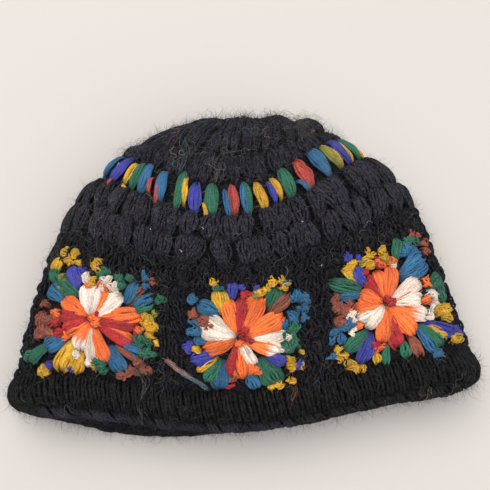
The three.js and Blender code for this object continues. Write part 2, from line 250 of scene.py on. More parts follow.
def makeWoolGroup():
    tree, given, out = newTree(
        "woolFibres", "ShaderNodeTree",
        [("Around", "Float", 2.6), ("Along", "Float", 0.35), ("Felt", "Float", 850.0), ("Contrast", "Float", 0.5)],
        [("Tone", "Float"), ("Hair", "Float"), ("Height", "Float"), ("Rough", "Float")])
    ring, run = (addNode(tree, "ShaderNodeAttribute", attribute_name=name) for name in ("ring", "run"))
    scaled = addNode(tree, "ShaderNodeVectorMath", {0: ring.outputs["Vector"], "Scale": given["Around"]},
                     operation="SCALE")
    stretched = addMath(tree, "MULTIPLY", run.outputs["Fac"], given["Along"])
    upright = addNode(tree, "ShaderNodeCombineXYZ", {"Z": stretched})
    where = addNode(tree, "ShaderNodeVectorMath", {0: scaled, 1: upright}, operation="ADD")
    place = addNode(tree, "ShaderNodeTexCoord").outputs["Object"]
    fibre = addNoise(tree, where, *woolGrain["fibre"])
    felt = addNoise(tree, place, given["Felt"], *woolGrain["felt"])
    cloud = addNoise(tree, place, *woolGrain["cloud"])
    mixed = addNode(tree, "ShaderNodeMix", {0: 0.5, 2: fibre, 3: felt}, data_type="FLOAT")
    less, more = (addMath(tree, operation, 1.0, given["Contrast"]) for operation in ("SUBTRACT", "ADD"))
    tone = addRange(tree, mixed, *woolGrain["toneFrom"], less, more)
    both = addMath(tree, "MULTIPLY", tone, addRange(tree, cloud, *woolGrain["cloudFrom"], *woolGrain["cloudTo"]))
    rough = addRange(tree, fibre, 0.0, 1.0, *woolGrain["roughTo"])
    curls = []  # fine hairs that lie across the yarn: thin level lines of two soft noises
    for scale, width in woolGrain["hairLines"]:
        swirl = addNoise(tree, place, scale, 1.0, distortion=woolGrain["hairCurl"])
        near = addMath(tree, "ABSOLUTE", addMath(tree, "SUBTRACT", swirl, 0.5))
        curls.append(addRange(tree, near, 0.0, width, 1.0, 0.0))
    hair = addMath(tree, "MAXIMUM", *curls)
    for source, name in ((both, "Tone"), (hair, "Hair"), (mixed, "Height"), (rough, "Rough")):
        tree.links.new(source.outputs[0], out[name])
    return tree


woolGroup = makeWoolGroup()
woolLooks = {  # around, along, felt, contrast, bump, gloss, sheen, sheen tint, hair strength, hair colour
    "blackWool": (2.6, 0.35, 1200.0, 0.98, 1.0, 0.07, 0.02, (0.75, 0.7, 0.9), 0.6, (0.1, 0.096, 0.114)),
    "sootWool": (2.6, 0.35, 1000.0, 0.95, 1.0, 0.06, 0.01, (0.75, 0.72, 0.8), 0.5, (0.052, 0.05, 0.056)),
    "brimWool": (2.6, 0.35, 1000.0, 0.95, 1.0, 0.05, 0.0, (0.8, 0.82, 0.8), 0.5, (0.06, 0.06, 0.058)),
    "petalWool": (2.4, 0.3, 1300.0, 0.22, 0.9, 0.12, 0.05, (1, 1, 1), 0.1, (0.6, 0.56, 0.5)),
    "cornerWool": (2.4, 0.3, 1300.0, 0.34, 0.9, 0.1, 0.05, (1, 1, 1), 0.2, (0.3, 0.31, 0.3)),
    "looseFibres": (1.0, 0.3, 600.0, 0.2, 0.2, 0.2, 0.05, (1, 1, 1), 0.0, (0.1, 0.1, 0.1)),
}


def makeWool(name, look):
    bumpStrength, gloss, sheen, sheenTint, hairShare, hairColour = look[4:]
    material = bpy.data.materials.new(name)
    material.use_nodes = True
    tree = material.node_tree
    shader = tree.nodes["Principled BSDF"]
    wool = addNode(tree, "ShaderNodeGroup", zip(("Around", "Along", "Felt", "Contrast"), look), node_tree=woolGroup)
    tint = addNode(tree, "ShaderNodeAttribute", attribute_name="tint")
    colour = addNode(tree, "ShaderNodeVectorMath", {0: tint.outputs["Color"], "Scale": wool.outputs["Tone"]},
                     operation="SCALE")
    share = addMath(tree, "MULTIPLY", wool.outputs["Hair"], hairShare)
    haired = addNode(tree, "ShaderNodeMix", {0: share, 6: colour, 7: (*hairColour, 1)}, data_type="RGBA")
    bump = addNode(tree, "ShaderNodeBump", {"Strength": bumpStrength, "Distance": woolGrain["bumpDepth"],
                                            "Height": wool.outputs["Height"]})
    for source, name in ((haired.outputs[2], "Base Color"), (wool.outputs["Rough"], "Roughness"),
                         (bump.outputs[0], "Normal")):
        tree.links.new(source, shader.inputs[name])
    setInputs(shader, {"Specular IOR Level": gloss, "Sheen Weight": sheen, "Sheen Roughness": woolGrain["sheenRough"],
                       "Sheen Tint": (*sheenTint, 1)})
    return material


wools = {name: makeWool(name, look) for name, look in woolLooks.items()}


def endTree(tree, shape, given, out):
    real = addNode(tree, "GeometryNodeRealizeInstances", {"Geometry": shape})
    dressed = addNode(tree, "GeometryNodeSetMaterial", {"Geometry": real, "Material": given["Wool"]})
    tree.links.new(dressed.outputs["Geometry"], out["Geometry"])
    return tree


# a tree that sweeps every strand of a piece
def makeSweepTree():
    tree, given, out = newTree(
        "sweepYarn", "GeometryNodeTree",
        [("Geometry", "Geometry", None), ("Sides", "Int", 6), ("Wool", "Material", None)], [("Geometry", "Geometry")])
    paths = addNode(tree, "GeometryNodeMeshToCurve", {"Mesh": given["Geometry"]})
    circle = addNode(tree, "GeometryNodeCurvePrimitiveCircle", {"Resolution": given["Sides"], "Radius": 1.0})
    spot = addNode(tree, "GeometryNodeInputPosition")
    profile = addNode(tree, "GeometryNodeStoreNamedAttribute", {"Geometry": circle, "Name": "ring", "Value": spot},
                      data_type="FLOAT_VECTOR", domain="POINT")
    thick = addNode(tree, "GeometryNodeInputNamedAttribute", {"Name": "thick"}, data_type="FLOAT")
    sweep = addNode(tree, "GeometryNodeCurveToMesh",
                    {"Curve": paths, "Profile Curve": profile, "Scale": thick, "Fill Caps": True})
    return endTree(tree, addNode(tree, "GeometryNodeSetShadeSmooth", {"Geometry": sweep}), given, out)


# a tree that scatters curled single fibres over a piece
fibres = {"curls": ((0.25, 0.35, 0.25), (-0.2, 0.7, -0.3), (0.5, 0.15, 0.4), (-0.45, 0.5, 0.1)),  # bend, lean, twist
          "facing": (-0.5, 0.3), "shown": (0.1, 1.0), "sides": (-0.8, 1.5), "paleColour": (0.5, 0.49, 0.46, 1),
          "sizes": (0.25, 1.65), "leans": 1.25, "joinedWithin": 1e-6}


def makeFuzzTree():
    tree, given, out = newTree(
        "scatterFuzz", "GeometryNodeTree",
        [("Geometry", "Geometry", None), ("Density", "Float", 4e5), ("Seed", "Int", 1), ("Length", "Float", 0.005),
         ("Width", "Float", 5e-5), ("Pale", "Float", 0.2), ("Wool", "Material", None)], [("Geometry", "Geometry")])
    upward = addNode(tree, "ShaderNodeSeparateXYZ", {0: addNode(tree, "GeometryNodeInputNormal")}).outputs["Z"]
    shown = addRange(tree, upward, *fibres["facing"], *fibres["shown"])  # few on the side that lies down
    sides = addMath(tree, "MULTIPLY_ADD", upward, *fibres["sides"])  # more on the steep sides
    density = addMath(tree, "MULTIPLY", shown, addMath(tree, "MULTIPLY", sides, given["Density"]))
    points = addNode(tree, "GeometryNodeDistributePointsOnFaces", distribute_method="RANDOM",
                     inputs={"Mesh": given["Geometry"], "Density": density, "Seed": given["Seed"]})
    own = addNode(tree, "GeometryNodeInputNamedAttribute", {"Name": "tint"}, data_type="FLOAT_COLOR")
    luck = addNode(tree, "FunctionNodeRandomValue", {"Seed": 2}, data_type="FLOAT")
    share = addMath(tree, "MULTIPLY", addMath(tree, "POWER", luck.outputs[1], 3.0), given["Pale"])
    paler = addNode(tree, "ShaderNodeMix", {0: share, 6: own, 7: fibres["paleColour"]}, data_type="RGBA")
    tinted = addNode(tree, "GeometryNodeStoreNamedAttribute", data_type="FLOAT_COLOR", domain="POINT",
                     inputs={"Geometry": points, "Name": "tint", "Value": paler.outputs[2]})
    flat = addNode(tree, "GeometryNodeCurvePrimitiveLine", {"Start": (-1, 0, 0), "End": (1, 0, 0)})
    width = addMath(tree, "DIVIDE", given["Width"], given["Length"])
    hairs = addNode(tree, "GeometryNodeJoinGeometry")
    for bend, lean, twist in fibres["curls"]:
        curl = addNode(tree, "GeometryNodeCurveQuadraticBezier",
                       {"Resolution": 2, "Start": (0, 0, -0.05), "Middle": (bend, twist, 0.5),
                        "End": (bend + lean, -twist, 0.75 - 0.4 * lean)})
        taper = addRange(tree, addNode(tree, "GeometryNodeSplineParameter").outputs["Factor"], 0.0, 1.0, 1.0, 0.0)
        ribbon = addNode(tree, "GeometryNodeCurveToMesh",
                         {"Curve": curl, "Profile Curve": flat, "Scale": addMath(tree, "MULTIPLY", taper, width)})
        pointed = addNode(tree, "GeometryNodeMergeByDistance", {"Geometry": ribbon, "Distance": fibres["joinedWithin"]})
        single = addNode(tree, "GeometryNodeGeometryToInstance", {"Geometry": pointed})
        tree.links.new(single.outputs["Instances"], hairs.inputs["Geometry"])
    pick = addNode(tree, "FunctionNodeRandomValue", {4: 0, 5: len(fibres["curls"]) - 1, "Seed": 3}, data_type="INT")
    size = addNode(tree, "FunctionNodeRandomValue", data_type="FLOAT",
                   inputs={2: fibres["sizes"][0], 3: fibres["sizes"][1], "Seed": 4})
    length = addMath(tree, "MULTIPLY", size.outputs[1], given["Length"])
    spin = addNode(tree, "FunctionNodeRandomValue", data_type="FLOAT_VECTOR",
                   inputs={0: (-fibres["leans"], -fibres["leans"], 0), 1: (fibres["leans"], fibres["leans"], 6.283),
                           "Seed": 5})
    turned = addNode(tree, "FunctionNodeRotateRotation", rotation_space="LOCAL",
                     inputs={"Rotation": points.outputs["Rotation"], "Rotate By": spin})
    placed = addNode(tree, "GeometryNodeInstanceOnPoints",
                     {"Points": tinted, "Instance": hairs, "Pick Instance": True, "Instance Index": pick.outputs[2],
                      "Rotation": turned, "Scale": length})
    return endTree(tree, placed, given, out)


sweepTree, fuzzTree = makeSweepTree(), makeFuzzTree()
print("wool and trees made")


def addObject(name, data):
    thing = bpy.data.objects.new(name, data)
    bpy.context.collection.objects.link(thing)
    return thing


def settle(name, source, tree, values):  # runs a tree on a mesh and keeps a plain mesh object
    carrier = addObject(name + ".path", source)
    modifier = carrier.modifiers.new("made", "NODES")
    modifier.node_group = tree
    for key, value in values.items():
        modifier[socketId(tree, key)] = value
    evaluated = carrier.evaluated_get(bpy.context.evaluated_depsgraph_get())
    mesh = bpy.data.meshes.new_from_object(evaluated)
    mesh.name = name
    carrier.modifiers.remove(modifier)
    bpy.data.objects.remove(carrier)
    spots = np.empty(len(mesh.vertices) * 3, np.float32)
    mesh.vertices.foreach_get("co", spots)
    spots[2::3] = np.maximum(spots[2::3], hat["floorGap"] / 1000)  # nothing goes through the table
    mesh.vertices.foreach_set("co", spots)
    piece = addObject(name, mesh)
    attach(piece, "root")
    return piece


def countTriangles(piece):
    print(piece.name, len(piece.data.loops) - 2 * len(piece.data.polygons), "triangles")


def paintTint(mesh, tint):
    colours = np.ones((len(mesh.vertices), 4), np.float32)
    colours[:, :3] = tint
    mesh.attributes.new("tint", "FLOAT_COLOR", "POINT").data.foreach_set("color", colours.ravel())


def newBundle():
    return {"points": [], "thick": [], "tint": [], "run": []}


def startPiece(size):
    return np.random.default_rng(size["seed"]), newBundle()


def addStrand(bundle, points, thick, tint, rng):  # points and thickness (a radius) in mm
    steps = np.linalg.norm(np.diff(points, axis=0), axis=1)
    bundle["points"].append(points)
    bundle["thick"].append(np.broadcast_to(thick, len(points)))
    bundle["tint"].append(np.broadcast_to(tint, (len(points), 3)))
    bundle["run"].append(np.concatenate([[0], np.cumsum(steps)]) + rng.uniform(0, 900))


def sweepPiece(name, bundle, wool, nodes=(), sides=4):
    edges, start = [], 0
    for strand in bundle["points"]:
        index = np.arange(start, start + len(strand) - 1)
        edges.append(np.stack([index, index + 1], -1))
        start += len(strand)
    mesh = bpy.data.meshes.new(name + ".paths")
    mesh.from_pydata((np.concatenate(bundle["points"]) / 1000).tolist(), np.concatenate(edges).tolist(), [])
    for key, values in (("thick", np.concatenate(bundle["thick"]) / 1000), ("run", np.concatenate(bundle["run"]))):
        mesh.attributes.new(key, "FLOAT", "POINT").data.foreach_set("value", values.astype(np.float32))
    paintTint(mesh, np.clip(np.concatenate(bundle["tint"]), 0.001, 1))
    piece = settle(name, mesh, sweepTree, {"Sides": sides, "Wool": wools[wool]})
    if nodes:
        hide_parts(*nodes)
    countTriangles(piece)
    return piece


# stitches are drawn on a flat patch: mm across (to the right) and down (to the brim)
def roundPatch(around, along):
    return {"around": around, "along": along, "acrossScale": 1 / perTurn(around, along), "downScale": 1.0}


def patchAt(patch, flat, offset, floorGap):
    around = patch["around"] - flat[:, 0] * patch["acrossScale"]
    along = patch["along"] + flat[:, 1] * patch["downScale"]
    return clothAt(around, along, offset + gatherAt(around, along), floorGap)


stitch = {"climb": 0.16, "drop": 0.14, "liftSpread": 0.35, "shadeSpread": 0.08, "sideSpread": 0.3,
          "lengthSpread": 0.035, "thickSpread": 0.1, "arch": 0.8, "edgeHeight": 0.45, "endThick": 0.7,
          "paintedShadeFrom": 0.25, "paintedShadeReach": 0.6, "coreFrom": 2.5, "coreApart": 6, "coreStart": 0.04, "coreLength": 0.92,
          "coreSpread": 0.7, "coreThick": 0.3, "coreHeight": 0.72, "coreGap": 0.3,
          "underSteps": 0.5, "underStrands": 0.7, "underThick": 1.25}  # shares on the side that lies down


def addLeaf(bundle, patch, base, tip, colours, leaf, rng):  # a puff: strands that swell apart between its ends
    base, tip = np.array(base, float), np.array(tip, float)
    axis = tip - base
    lateral = np.array([-axis[1], axis[0]]) / (np.linalg.norm(axis) + 1e-6)
    lateral = -lateral if lateral[0] < 0 else lateral
    under = liesUnder(patch["around"])
    t = np.linspace(0, 1, math.ceil(leaf["steps"] * (stitch["underSteps"] if under else 1)))
    widening = leaf["baseShare"] + (1 - leaf["baseShare"]) * np.sin(0.5 * np.pi * np.clip(t / leaf["widest"], 0, 1))
    past = np.clip((t - leaf["widest"]) / (1 - leaf["widest"]), 0, 1)
    narrowing = leaf["tipShare"] + (1 - leaf["tipShare"]) * np.cos(0.5 * np.pi * past) ** 0.8
    swell = np.where(t < leaf["widest"], widening, narrowing)
    loft = np.clip(np.minimum(t / stitch["climb"], (1 - t) / stitch["drop"]), 0, 1) ** 0.6
    bend = rng.normal(0, leaf["bend"])
    lift, glow = rng.normal(0, stitch["liftSpread"]), 1 + rng.normal(0, stitch["shadeSpread"])
    height = leaf["peak"] + lift - leaf["foot"]
    thin = leaf["width"] < stitch["coreFrom"] or "coreShade" not in leaf
    cores = 0 if thin else 1 + round(leaf["width"] / stitch["coreApart"])
    few = np.linspace(0, len(t) - 1, len(t) // 2 + 1).round().astype(int)
    for k in range(cores):  # fat strands that fill the puff from inside, their tint darkened as painted shade
        side = (2 * k + 1) / cores - 1
        sideways = side * leaf["width"] / 2 * swell[few, None] * stitch["coreSpread"]
        flat = base + axis * (stitch["coreStart"] + stitch["coreLength"] * t[few, None]) + lateral * sideways
        thick = np.minimum(stitch["coreThick"] * height, leaf["width"] * swell[few] * 0.5 / cores)
        thick = thick * (0.5 + 0.5 * loft[few])
        high = leaf["foot"] + height * loft[few] * (stitch["coreHeight"] - 0.2 * side * side) - thick
        addStrand(bundle, patchAt(patch, flat, high, stitch["coreGap"]), thick,
                  strandTint(colours, side, len(few), rng) * leaf["coreShade"], rng)
    count = max(2, round(leaf["strands"] * (stitch["underStrands"] if under else 1)))
    for k in range(count):
        side = (2 * k + 1) / count - 1 + rng.normal(0, stitch["sideSpread"] / count)
        arch = math.sqrt(max(0.0, 1 - stitch["arch"] * side * side))
        wobble = rng.normal(0, leaf["loose"], 3)
        wave = wobble[0] * np.sin(np.pi * t) + wobble[1] * np.sin(2 * np.pi * t) + wobble[2] * np.sin(3.5 * np.pi * t)
        forward = (t * (1 + rng.normal(0, stitch["lengthSpread"])))[:, None]
        sideways = side * leaf["width"] / 2 * swell + wave + bend * np.sin(np.pi * t)
        flat = base + axis * forward + lateral * sideways[:, None]
        body = loft * (stitch["edgeHeight"] + 0.55 * arch * swell)
        thick = leaf["thick"] * (stitch["endThick"] + 0.3 * swell) * (1 + rng.normal(0, stitch["thickSpread"]))
        thick = thick * (stitch["underThick"] if under else 1)
        high = leaf["foot"] + height * body + wave * 0.5 - thick
        lit = np.clip((body - stitch["paintedShadeFrom"]) / stitch["paintedShadeReach"], 0, 1)  # painted shade: darker deep down in the puff
        # as painted shade, the tint falls to the share deep where the strand lies lowest
        shade = glow * (leaf["deep"] + (1 - leaf["deep"]) * lit)
        addStrand(bundle, patchAt(patch, flat, high, leaf["thick"]), thick,
                  strandTint(colours, side, len(t), rng) * shade[:, None], rng)


def fillLeaf(shape, width):  # as many strands as its width takes
    return {**shape, "width": width * shape["fill"], "strands": max(shape["fewest"], round(width / shape["apart"]))}


knotLeaf = {"steps": 6, "foot": 1.6, "thick": 0.55, "widest": 0.5, "baseShare": 0.3, "tipShare": 0.3, "bend": 0.6,
            "loose": 0.4, "deep": 0.35, "fill": 1, "apart": 0.8, "fewest": 3}


def addKnot(bundle, patch, centre, size, colours, rng, peak):  # a closing stitch: short turns of yarn in a V
    heading = rng.uniform(0, 2 * math.pi)
    leaf = {**fillLeaf(knotLeaf, size * 0.5), "peak": peak}
    for k in range(3 if size < 5 else 4):
        heading += 0.9 + rng.normal(0, 0.4)
        way = np.array([math.cos(heading), math.sin(heading)]) * size * rng.uniform(0.38, 0.62)
        middle = np.array(centre) + rng.normal(0, size * 0.18, 2)
        addLeaf(bundle, patch, middle - way, middle + way, colours, leaf, rng)


# crown and body rounds of black puffs; each runs from its foot, on the brim side, to its top
blackRounds = {
    "crownMiddle": {"node": "crown_centre", "from": 1.0, "to": 15.0, "count": 16, "strands": 3, "fill": 1.2,
                    "foot": 1.5, "peak": 4.4, "thick": 1.2, "slant": 0.5, "seed": 11},
    "crownRibs": {"node": "crown_round_2", "from": 10.0, "to": 51.5, "count": 48, "strands": 5, "fill": 1.0,
                  "foot": 1.4, "peak": 4.7, "thick": 0.85, "slant": 1.0, "seed": 12},
    "crownLeaves": {"node": "crown_round_1", "from": 47.5, "to": 70.0, "count": 44, "strands": 6, "fill": 1.1,
                    "foot": 0.8, "peak": 5.6, "thick": 0.8, "slant": 1.6, "seed": 13},
    "bodyPuffsUpper": {"node": "body_round_1", "from": 88.0, "to": 109.5, "count": 44, "strands": 8, "fill": 1.04,
                       "foot": 0.6, "peak": 7.8, "thick": 0.9, "slant": 1.8, "shift": 0.5, "seed": 14},
    "bodyPuffsLower": {"node": "body_round_2", "from": 105.0, "to": 126.0, "count": 44, "strands": 8, "fill": 1.04,
                       "foot": 0.6, "peak": 7.6, "thick": 0.9, "slant": 2.2, "seed": 15},
}
puffShape = {"steps": 9, "widest": 0.6, "baseShare": 0.16, "tipShare": 0.4, "bend": 0.8, "loose": 0.42, "deep": 0.2,
             "coreShade": 0.4}
bluer = {"middle": 0.25, "reach": 0.12, "fade": 0.1, "least": 0.1, "most": 0.9}  # around, where the black is bluer


def makeBlackRound(name, size):
    rng, bundle = startPiece(size)
    middle, half = (size["from"] + size["to"]) / 2, (size["to"] - size["from"]) / 2
    for k in range(size["count"]):
        around = (k + size.get("shift", 0.0) + rng.normal(0, 0.1)) / size["count"]
        patch = roundPatch(around, middle + rng.normal(0, 0.03 * half))
        slant = rng.normal(0, size["slant"], 2)
        width = perTurn(around, middle) / size["count"] * size["fill"] * (1 + rng.normal(0, 0.08))
        leaf = {**puffShape, **size, "width": width}
        fromMiddle = abs(around - bluer["middle"])
        plain = np.clip((fromMiddle - bluer["reach"]) / bluer["fade"], bluer["least"], bluer["most"])
        colours = "soot" if rng.uniform() < plain else "black"
        addLeaf(bundle, patch, (slant[0], half), (slant[1], -half), colours, leaf, rng)
    return sweepPiece(name, bundle, "blackWool", [size["node"]])


blackPieces = [makeBlackRound(name, size) for name, size in blackRounds.items()]

# small uneven stitches: the last black round and the strips between the squares
smallLeaf = {"steps": 6, "foot": 0.8, "peak": 6.0, "thick": 0.8, "widest": 0.55, "baseShare": 0.3, "tipShare": 0.4,
             "bend": 0.8, "loose": 0.5, "strands": 4, "deep": 0.4, "coreShade": 0.5, "fill": 1.1}
smallRows = {"alongs": (124.5, 129.5, 134.5, 139.0), "count": 62, "height": 9.5, "tilt": 0.4, "seed": 16}
joins = {"rows": 9, "columns": 3, "from": 141.0, "to": 209.0, "height": 11.0, "tilt": 0.3, "overlap": 0.009,
         "stagger": 3.5, "seed": 41}
joinNames = ["join_right_side", "join_front_right", "join_front_left", "join_left_side", "join_back_left",
             "join_back_right"]


def addSmallStitch(bundle, around, along, width, height, tilt, rng):
    angle = rng.normal(0, tilt)
    way = np.array([math.sin(angle), math.cos(angle)]) * height / 2
    shift = rng.normal(0, 0.7, 2)
    leaf = {**smallLeaf, "width": width * (1 + rng.normal(0, 0.1))}
    addLeaf(bundle, roundPatch(around, along), shift + way, shift - way, "soot", leaf, rng)


def makeSmallRows():
    rng, bundle = startPiece(smallRows)
    for row, along in enumerate(smallRows["alongs"]):
        for k in range(smallRows["count"]):
            around = (k + 0.5 * (row % 2) + rng.normal(0, 0.1)) / smallRows["count"]
            width = perTurn(around, along) / smallRows["count"] * smallLeaf["fill"]
            addSmallStitch(bundle, around, along, width, smallRows["height"], smallRows["tilt"], rng)
    return sweepPiece("bodyStitches", bundle, "sootWool", ["body_round_3"])


blackPieces.append(makeSmallRows())
print("black rounds made")

# the coloured round: around and along of each puff's top, then of its foot, width in mm, colours
colourRound = {
    "leaf": {"steps": 10, "foot": 1.0, "peak": 6.4, "thick": 0.8, "widest": 0.5, "baseShare": 0.14, "tipShare": 0.2,
             "bend": 0.4, "loose": 0.22, "deep": 0.45, "coreShade": 0.5, "fill": 0.92, "apart": 0.9, "fewest": 3},
    "seed": 21, "hiddenCount": 17, "hiddenFrom": 0.515, "hiddenShare": 0.475,
    "hidden": "teal coral yellow indigo green teal yellow/green indigo coral".split(),
    "shown": [
        (0.472, 66, 0.476, 87, 5.6, "teal"), (0.438, 67, 0.448, 91, 9.5, "indigo"),
        (0.446, 87, 0.441, 95, 2.4, "coral"), (0.419, 71, 0.423, 88, 4.6, "yellow"),
        (0.424, 88, 0.412, 92, 3.0, "yellow"), (0.407, 68, 0.409, 90, 6.4, "green"),
        (0.3925, 67, 0.3905, 92, 7.2, "teal"), (0.382, 75, 0.3775, 87, 2.6, "coral"),
        (0.3715, 71, 0.364, 93, 2.4, "coral"), (0.3635, 67, 0.358, 90, 7.2, "teal"),
        (0.331, 62, 0.335, 92, 6.4, "green"), (0.3255, 65, 0.324, 86, 4.2, "yellow"),
        (0.308, 69, 0.3065, 92, 7.6, "indigo"), (0.296, 81, 0.2895, 93, 2.2, "yellow"),
        (0.283, 67, 0.282, 91, 8.2, "green"), (0.265, 72, 0.2615, 92, 3.2, "teal"),
        (0.2545, 68, 0.254, 92, 5.8, "coral"), (0.2365, 68, 0.2355, 92, 7.4, "teal/green"),
        (0.218, 70, 0.2125, 92, 6.4, "yellow"), (0.2, 72, 0.196, 89, 3.6, "indigo"),
        (0.1935, 71, 0.188, 88, 4.2, "yellow"), (0.174, 66, 0.1725, 91, 8.4, "green"),
        (0.1445, 66, 0.1385, 91, 8.6, "coral"), (0.157, 80, 0.1455, 92, 2.6, "teal"),
        (0.1135, 65, 0.105, 90, 9.6, "teal"), (0.086, 65, 0.081, 89, 8.0, "lime/yellow"),
        (0.06, 64, 0.062, 90, 9.0, "indigo/yellow"), (0.031, 63, 0.034, 88, 8.4, "green"),
        (0.006, 64, 0.008, 87, 7.5, "yellow")]}


def makeColourRound():
    rng, bundle = startPiece(colourRound)
    puffs = list(colourRound["shown"])
    for k in range(colourRound["hiddenCount"]):
        around = colourRound["hiddenFrom"] + colourRound["hiddenShare"] * k / colourRound["hiddenCount"]
        puffs.append((around, 66 + rng.normal(0, 1), around + 0.003, 90 + rng.normal(0, 1), rng.uniform(6.5, 9),
                      colourRound["hidden"][k % len(colourRound["hidden"])]))
    for aroundTop, top, aroundFoot, foot, width, colours in puffs:
        patch = roundPatch(aroundTop, (top + foot) / 2)
        across = (aroundTop - aroundFoot) / patch["acrossScale"]
        addLeaf(bundle, patch, (across, (foot - top) / 2), (0, (top - foot) / 2), colours,
                fillLeaf(colourRound["leaf"], width), rng)
    return sweepPiece("colourPuffs", bundle, "cornerWool", ["colour_round"])


colourPiece = makeColourRound()
print("coloured round made")

# flower squares, in mm across and down from the flower's middle
petalCharts = {  # tip, width, colours
    "middle": [
        (3.5, -24, 9.5, "darkRed"), (-7, -25, 9.5, "orange"), (12.5, -23.5, 10.5, "orange"),
        (25.5, -10.5, 12, "orange"), (27, 1.5, 8.5, "cream"), (24, 12, 9.5, "orange>cream"), (8, 18, 7, "cream"),
        (1.5, 26.5, 12, "orange"), (-7, 25, 6, "darkRed"), (-20, 8, 10, "orange"), (-21, -4, 8, "cream"),
        (-18, -13, 9, "cream")],
    "left": [
        (-5.5, -20, 9.5, "cream"), (2, -21, 7.5, "cream"), (9.5, -20, 7.5, "orange"), (17, -18, 9, "cream"),
        (30, -10, 10, "orange"), (27.5, -2, 9, "darkRed"), (26, 9.5, 10, "darkRed/orange"), (11, 25, 9, "orange"),
        (3, 26.5, 8, "cream"), (-6, 20, 9.5, "orange>cream"), (-15.5, 11, 9, "darkRed/orange"),
        (-19, 0, 10, "darkRed"), (-19, -10, 9.5, "orange")],
    "right": [
        (-1, -19.5, 9, "orange"), (8, -20, 9, "orange"), (24.5, -7.5, 10, "cream"), (20.5, -1.5, 4, "orange"),
        (22, 3.5, 8.5, "cream"), (23, 14, 9.5, "orange>cream"), (13.5, 22, 10, "orange"), (3, 28, 9.5, "darkRed"),
        (-5.5, 22, 10, "orange"), (-13, 10.5, 9, "cream"), (-18, 4.5, 8.5, "cream"), (-18, -2.5, 9, "orange"),
        (-15, -10, 9, "orange"), (-8.5, -18, 9, "darkRed")],
}
leafCharts = {  # base, tip, width, colours
    "middle": [
        (-8, -14, -11, -31, 11, "yellow"), (-10, -15, -22.5, -21.5, 10.5, "teal"),
        (-3, -23, -3.5, -37, 7.5, "indigo"), (18, -15, 23, -28, 10.5, "green"), (17, -12.5, 30.5, -22.5, 9, "rust"),
        (14, 13, 26, 18.5, 8, "indigo"), (11, 14, 20, 33, 15, "green"), (-9, 14, -12, 34, 10, "teal"),
        (-11, 13, -19, 29, 8, "green"), (-12, 12, -24, 22.5, 4, "yellow"), (-13, 10, -27, 16, 9, "indigo"),
        (4, 23, 8, 35, 8, "teal")],
    "left": [
        (-27.5, -36, -27.5, -25, 9, "yellow"), (-9, -12, -25, -18.5, 10, "green"),
        (-10, -15.5, -16.5, -30, 9.5, "indigo"), (20, -13, 25.5, -29, 7.5, "teal"), (21, -13, 31, -27, 6, "rust"),
        (24, -13, 38, -23, 7, "teal"), (24, -11.5, 38, -17, 6, "green"), (19, 12, 32, 14, 5, "teal"),
        (15, 13, 31, 20, 4.5, "rust"), (12, 14, 20.5, 30, 11, "teal"), (-3.5, 20, -6, 36.5, 8.5, "yellow"),
        (-9, 14, -15, 35, 12, "yellow"), (-12, 12, -24.5, 22, 10, "teal"), (-23, 18, -33.5, 31, 8, "green"),
        (-17, -7, -28, -16.5, 9.5, "teal")],
    "right": [
        (-12, -11, -32, -23, 8.5, "green"), (-13, -9.5, -28, -13.5, 7, "teal"), (-10, -13, -16.5, -27, 9, "indigo"),
        (-13, -14, -23, -28, 4.5, "yellow"), (11, -19, 16, -36, 7, "green"), (12, -11.5, 31, -18.5, 14, "teal"),
        (28, -1, 39, -9, 9, "green"), (20, 16.5, 37, 27, 9, "indigo"), (20, 19, 32, 28.5, 5.5, "yellow"),
        (16, 17, 23.5, 38, 8, "teal/green"), (18, 17, 27, 33, 5, "green"), (11, 22, 14.5, 38, 7, "rust"),
        (6, 25, 7, 37, 7, "green"), (-4, 23, -6, 38, 6.5, "green"), (-11, 14.5, -21, 32, 10, "indigo"),
        (-13, 12.5, -28.5, 21, 10, "green"), (-11, 23, -11, 36, 4.5, "yellow")],
}
